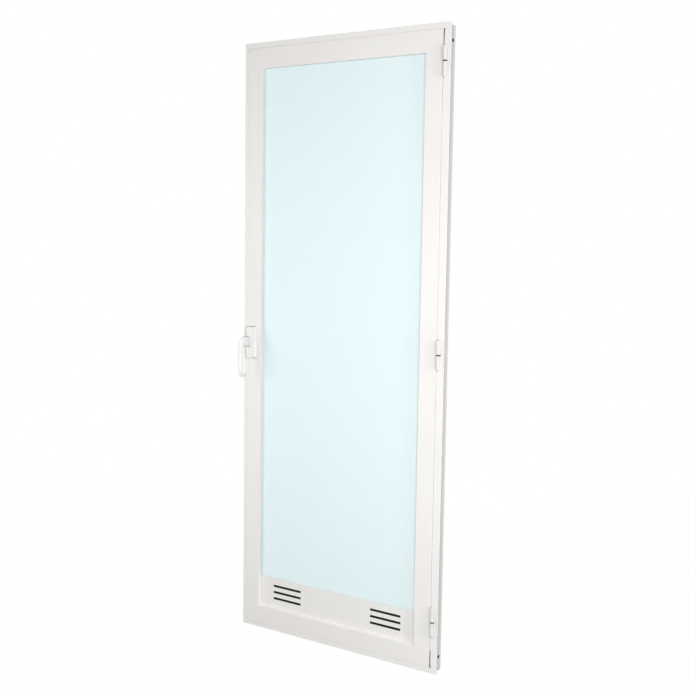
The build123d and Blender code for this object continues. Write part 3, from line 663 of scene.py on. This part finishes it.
# Screw heads: a dome with a six-lobed recess; lobe and recess are shares of the head's radius
SCREW_SIDES = 36
SCREW_SUNK = 0.2 * MM
SCREW_RIM = 0.15 * MM
SCREW_CROWN = 0.5 * MM
SCREW_DOME = pi / 3
SCREW_DOME_STEPS = 5
SCREW_LOBES = 6
SCREW_LOBE = 0.06
SCREW_RECESS_MOUTH = 0.36
SCREW_RECESS_FLOOR = 0.34
SCREW_RECESS = 0.45 * MM


def screw(name, centre, axis, radius, body):
    """A domed screw head with a six-lobed recess, which stands a little proud."""
    axis = Vector(axis)
    side, other = across_axis(axis)
    rings = []

    def ring(height, reach, lobe=0.0):
        points = []
        for i in range(SCREW_SIDES):
            angle = tau * i / SCREW_SIDES
            away = reach + lobe * cos(SCREW_LOBES * angle)
            points.append(Vector(centre) + axis * height
                          + away * (cos(angle) * side + sin(angle) * other))
        rings.append(points)

    ring(-SCREW_SUNK, radius)
    ring(SCREW_RIM, radius)
    for step in range(1, SCREW_DOME_STEPS + 1):
        turn = step / SCREW_DOME_STEPS * SCREW_DOME
        ring(SCREW_RIM + SCREW_CROWN * sin(turn), radius * cos(turn))
    top = SCREW_RIM + SCREW_CROWN * sin(SCREW_DOME)
    ring(top, radius * SCREW_RECESS_MOUTH, radius * SCREW_LOBE)
    ring(top - SCREW_RECESS, radius * SCREW_RECESS_FLOOR, radius * SCREW_LOBE)
    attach(mesh_object(name, tube(rings), ZINC_PLATE), body)


# Soft strips in the leaf's gap, and dark strips of painted shade on those of the hinge side
GAP_CLEAR = 0.3 * MM
HINGE_SIDE_CLEAR = 1.4 * MM
STRIP_SETBACK = 0.05 * MM
LEAF_ARRIS = 0.8 * MM
STRIP_DEPTH = 4.0 * MM
STRIP_ROUND = 0.3 * MM
STRIP_ROUND_STEPS = 4
GAP_SHADE_LENGTH = 48 * MM
GAP_SHADE_INSET = 1.2 * MM
GAP_SHADE_WIDTH = 2.6 * MM
GAP_SHADE_PROUD = 0.15 * MM
GAP_SHADE_SUNK = 0.3 * MM


def strip_outline(reach):
    """Section of a soft strip, (out from the leaf's edge, back from the face), outer end round."""
    outline = [(0.0, LEAF_ARRIS), (-LEAF_ARRIS, 0.0)]
    for corner_y, first in ((STRIP_ROUND, -pi / 2), (STRIP_DEPTH - STRIP_ROUND, 0.0)):
        for step in range(STRIP_ROUND_STEPS + 1):
            turn = first + step / STRIP_ROUND_STEPS * pi / 2
            outline.append((reach - STRIP_ROUND + STRIP_ROUND * cos(turn),
                            corner_y + STRIP_ROUND * sin(turn)))
    outline.append((0.0, STRIP_DEPTH))
    return outline


def soft_strip(name, start, end, out, reach, body="leaf"):
    """Soft strip from start to end along an edge, standing out by reach."""
    rings = [[place + Vector(out) * x + Vector((0, STRIP_SETBACK + y, 0))
              for x, y in strip_outline(reach)] for place in (start, end)]
    strip = mesh_object(name, tube(rings), GAP_STRIP)
    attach(strip, body)


def gap_shade_strip(name, jamb_x, inner_z, end_z):
    """A dark strip of painted shade beside the hinge jamb, laid on the soft strip's face."""
    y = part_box("leaf_top_rail")[0].y + STRIP_SETBACK
    x = jamb_x - GAP_SHADE_INSET
    rings = [[Vector((x, y + GAP_SHADE_SUNK, z)), Vector((x, y - GAP_SHADE_PROUD, z)),
              Vector((x - GAP_SHADE_WIDTH, y - GAP_SHADE_PROUD, z)),
              Vector((x - GAP_SHADE_WIDTH, y + GAP_SHADE_SUNK, z))] for z in (inner_z, end_z)]
    strip = mesh_object(f"gap_shade_strip_{name}", tube(rings),
                        gap_shade_material(f"gap_shade_{name}", inner_z, end_z))
    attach(strip, "frame")


def gap_strips(spans):
    """Soft strips that close the leaf's gap but for a hair, with painted shade at the hinge side's
    ends.
    """
    low, high = box_bounds(["leaf_top_rail", "leaf_bottom_rail"])
    across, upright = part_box("frame_head"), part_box("gasket_hinge_side")
    y = low.y
    jamb_x = across[1].x
    hinge_reach = jamb_x - high.x - HINGE_SIDE_CLEAR
    lock_reach = low.x - across[0].x - GAP_CLEAR
    levels = (("foot", low.z, spans["bottom"][0].z),
              ("lower", spans["bottom"][1].z, spans["middle"][0].z),
              ("upper", spans["middle"][1].z, spans["top"][0].z),
              ("top", spans["top"][1].z, high.z))
    for name, below, above in levels:
        soft_strip(f"gap_strip_{name}", Vector((jamb_x, y, below + HINGE_SIDE_CLEAR)),
                   Vector((jamb_x, y, above - HINGE_SIDE_CLEAR)), (-1, 0, 0), hinge_reach, "frame")
    # Painted shade in the gap below the bottom hinge and above the top one
    gap_shade_strip("foot", jamb_x, low.z + GAP_SHADE_LENGTH, low.z + STRIP_SETBACK)
    gap_shade_strip("top", jamb_x, spans["top"][1].z + GAP_CLEAR, high.z)
    soft_strip("gap_strip_lock", Vector((low.x, y, low.z)), Vector((low.x, y, high.z)),
               (-1, 0, 0), lock_reach)
    soft_strip("gap_strip_head", Vector((low.x - lock_reach, y, high.z)),
               Vector((high.x, y, high.z)), (0, 0, 1), upright[1].z - high.z - GAP_CLEAR)
    soft_strip("gap_strip_sill", Vector((low.x - lock_reach, y, low.z)),
               Vector((high.x, y, low.z)), (0, 0, -1), low.z - upright[0].z - GAP_CLEAR)


# Hinges: washers between the knuckles, and screws at shares of each plate's height
WASHER_SIDES = 48
WASHER_SHORT = 0.2 * MM
WASHER_INSET = 0.3 * MM
WASHER_EDGE = 0.2 * MM
HINGE_SCREW_RADIUS = 2.6 * MM
LEAF_SCREWS_AT = (0.25, 0.72)
FRAME_SCREWS_AT = (0.28, 0.75)


def hinge_washer(place):
    """Dark washer between the two knuckles, round the pin."""
    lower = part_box(f"hinge_{place}_frame_knuckle")
    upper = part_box(f"hinge_{place}_leaf_knuckle")
    pin_low, pin_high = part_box(f"hinge_{place}_pin")
    centre = ((pin_low.x + pin_high.x) / 2, (pin_low.y + pin_high.y) / 2, lower[1].z)
    height = upper[0].z - lower[1].z - WASHER_SHORT
    bore = (pin_high.y - pin_low.y) / 2
    radius = pin_low.y - lower[0].y + bore - WASHER_INSET
    profile = [(bore, 0), (radius - WASHER_EDGE, 0), (radius, WASHER_EDGE),
               (radius, height - WASHER_EDGE), (radius - WASHER_EDGE, height), (bore, height)]
    turned_ring(f"hinge_{place}_washer", profile, centre, (0, 0, 1), WASHER_SIDES)


def plate_screws(place, body, face_x, out, plate_y, shares):
    """The screws of one hinge plate."""
    low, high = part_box(f"hinge_{place}_{body}_knuckle")
    for share in shares:
        screw(f"hinge_{place}_{body}_screw_{int(share * 100)}",
              (face_x, plate_y, low.z + share * (high.z - low.z)), (out, 0, 0),
              HINGE_SCREW_RADIUS, body)


def hinge_details():
    """Washers of the hinges, the soft strips between them, and the screws of their plates."""
    spans = {}
    for place in HINGES:
        spans[place] = box_bounds([f"hinge_{place}_frame_knuckle", f"hinge_{place}_leaf_knuckle"])
        hinge_washer(place)
    gap_strips(spans)
    stile_low, stile_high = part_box("leaf_hinge_stile")
    for place in HINGES:
        plate_y = (stile_low.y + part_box(f"hinge_{place}_leaf_knuckle")[1].y) / 2
        plate_screws(place, "leaf", stile_high.x + HINGE_PLATE, 1, plate_y, LEAF_SCREWS_AT)
        plate_screws(place, "frame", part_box(f"hinge_{place}_frame_knuckle")[0].x, -1, plate_y,
                     FRAME_SCREWS_AT)


# Latch: node, name, screws from its ends, way they face, their radius, and body
LATCH_SCREWS = (
    ("latch_faceplate", "faceplate", 9 * MM, -1, 3.0 * MM, "leaf"),
    ("strike_plate", "strike", 8 * MM, 1, 2.6 * MM, "frame"),
)


def latch_details():
    """Screws of the latch's faceplate and of the strike."""
    for node, name, from_end, out, radius, body in LATCH_SCREWS:
        low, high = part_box(node)
        x = low.x if out < 0 else high.x
        for end, z in (("low", low.z + from_end), ("high", high.z - from_end)):
            screw(f"{name}_screw_{end}", (x, (low.y + high.y) / 2, z), (out, 0, 0), radius, body)


# Rings of painted shade round the fixing holes; plugs as (depth below the end, inset from the
# chamber's walls)
SHADE_RING_SIDES = 32
SHADE_RING_RADIUS = 5.2 * MM
SHADE_RING_SUNK = 0.2 * MM
SHADE_RING_EDGE = 0.2 * MM
SHADE_RING_SHOULDER = 0.1 * MM
SHADE_RING_PROUD = 0.3 * MM
PLUG_CLEAR = 0.1 * MM
PLUG_STEPS = ((4 * MM, PLUG_CLEAR), (1 * MM, PLUG_CLEAR), (0.3 * MM, PLUG_CLEAR + 0.7 * MM))


def shade_hole_rims():
    """Painted shade: a near-black ring round each fixing hole in the jambs' outer sides, that
    widens the hole's dark.
    """
    profile = [(HOLE_RADIUS, -SHADE_RING_SUNK), (SHADE_RING_RADIUS, -SHADE_RING_SUNK), (SHADE_RING_RADIUS, SHADE_RING_SHOULDER),
               (SHADE_RING_RADIUS - SHADE_RING_EDGE, SHADE_RING_PROUD), (HOLE_RADIUS, SHADE_RING_PROUD)]
    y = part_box("leaf_top_rail")[0].y + HOLE_DEPTH
    for node, side in JAMBS:
        low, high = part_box(node)
        outer_x = jamb_faces(node, side)[1]
        for end, z in (("low", low.z + HOLE_FROM_END), ("high", high.z - HOLE_FROM_END)):
            turned_ring(f"{node}_hole_shade_{end}", profile, (outer_x, y, z), (side, 0, 0), SHADE_RING_SIDES)


def end_plugs():
    """White plugs that close the open ends of the jambs' chambers."""
    for node, side in JAMBS:
        low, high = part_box(node)
        inner_x, outer_x = jamb_faces(node, side)
        x0, x1 = sorted((inner_x + side * BAR_WALL, outer_x - side * BAR_WALL))
        y0, y1 = low.y + BAR_WALL, high.y - BAR_WALL
        for end, z, out in (("low", low.z + FLANGE_OVERHANG, -1),
                            ("high", high.z - FLANGE_OVERHANG, 1)):
            rings = [[Vector((x, y, z - out * depth)) for x, y in
                      ((x0 + inset, y0 + inset), (x1 - inset, y0 + inset),
                       (x1 - inset, y1 - inset), (x0 + inset, y1 - inset))]
                     for depth, inset in PLUG_STEPS]
            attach(mesh_object(f"{node}_plug_{end}", tube(rings), RESIN_WHITE), "frame")


def floor_material():
    """Pale and matt near the door, where it keeps the shadow, and plain white far from it."""
    graph = Graph("pale_floor", FLOOR_BOUNCE, FLOOR_ROUGHNESS)
    graph.shader.inputs["Specular IOR Level"].default_value = 0.0
    graph.repainted(seen_directly(graph.tree), FLOOR_SEEN)
    distance = graph.node("ShaderNodeVectorMath", operation="LENGTH")
    graph.link(graph.place, distance.inputs[0])
    share = graph.spread(distance.outputs["Value"], FLOOR_NEAR, FLOOR_FAR, FLOOR_WHITE_NEAR, 1.0,
                         interpolation_type="SMOOTHSTEP")
    glow = graph.node("ShaderNodeEmission")
    glow.inputs["Color"].default_value = (1, 1, 1, 1)
    glow.inputs["Strength"].default_value = 1.0
    graph.give_way(graph.product([seen_directly(graph.tree), share]), glow)
    return graph.material


def make_floor():
    """A wide pale floor at the foot of the frame's flange."""
    z = CAD_BOX[0][2]
    bm = bmesh.new()
    bm.faces.new([bm.verts.new((x * FLOOR_HALF, y * FLOOR_HALF, z)) for x, y in
                  ((-1, -1), (1, -1), (1, 1), (-1, 1))])
    mesh_object("floor", bm, floor_material())


def make_world():
    """White where it is seen, and softer where it only lights."""
    world = bpy.data.worlds.new("studio")
    world.use_nodes = True
    tree = world.node_tree
    strength = tree.nodes.new("ShaderNodeMapRange")
    strength.inputs["To Min"].default_value = WORLD_LIGHT
    strength.inputs["To Max"].default_value = 1.0
    tree.links.new(seen_directly(tree), strength.inputs["Value"])
    background = tree.nodes["Background"]
    background.inputs["Color"].default_value = (1, 1, 1, 1)
    tree.links.new(strength.outputs["Result"], background.inputs["Strength"])
    bpy.context.scene.world = world


def soft_lamp(name, at, size, watts):
    """A square soft box aimed at the door, which lights it but isn't seen in glass or gloss."""
    light = bpy.data.lights.new(name, "AREA")
    light.size = size
    light.energy = watts
    lamp = bpy.data.objects.new(name, light)
    lamp.location = at
    lamp.rotation_euler = (LAMP_TARGET - Vector(at)).to_track_quat("-Z", "Y").to_euler()
    lamp.visible_camera = False
    lamp.visible_glossy = False
    lamp.visible_transmission = False
    bpy.context.scene.collection.objects.link(lamp)


def make_lights():
    """Key and fill in front at half height, one from the hinge side and one for the back."""
    for lamp in LAMPS:
        soft_lamp(*lamp)


def make_camera():
    """The camera of the photograph."""
    back = Vector((sin(AZIMUTH) * cos(ELEVATION), -cos(AZIMUTH) * cos(ELEVATION), sin(ELEVATION)))
    right = Vector((0, 0, 1)).cross(back).normalized()
    up = back.cross(right)
    rolled_right = cos(ROLL) * right + sin(ROLL) * up
    rolled_up = cos(ROLL) * up - sin(ROLL) * right
    data = bpy.data.cameras.new("camera")
    data.lens = LENS
    data.sensor_width = SENSOR
    data.clip_end = CLIP_END
    camera = bpy.data.objects.new("camera", data)
    turn = Matrix((rolled_right, rolled_up, back)).transposed()
    camera.matrix_world = Matrix.Translation(CAMERA_AT) @ turn.to_4x4()
    bpy.context.scene.collection.objects.link(camera)
    bpy.context.scene.camera = camera


dress_nodes()
make_lever("lever_front", -1)
make_lever("lever_back", 1)
hinge_details()
latch_details()
shade_hole_rims()
end_plugs()
make_floor()
make_world()
make_lights()
make_camera()
bpy.context.scene.view_settings.view_transform = "Standard"
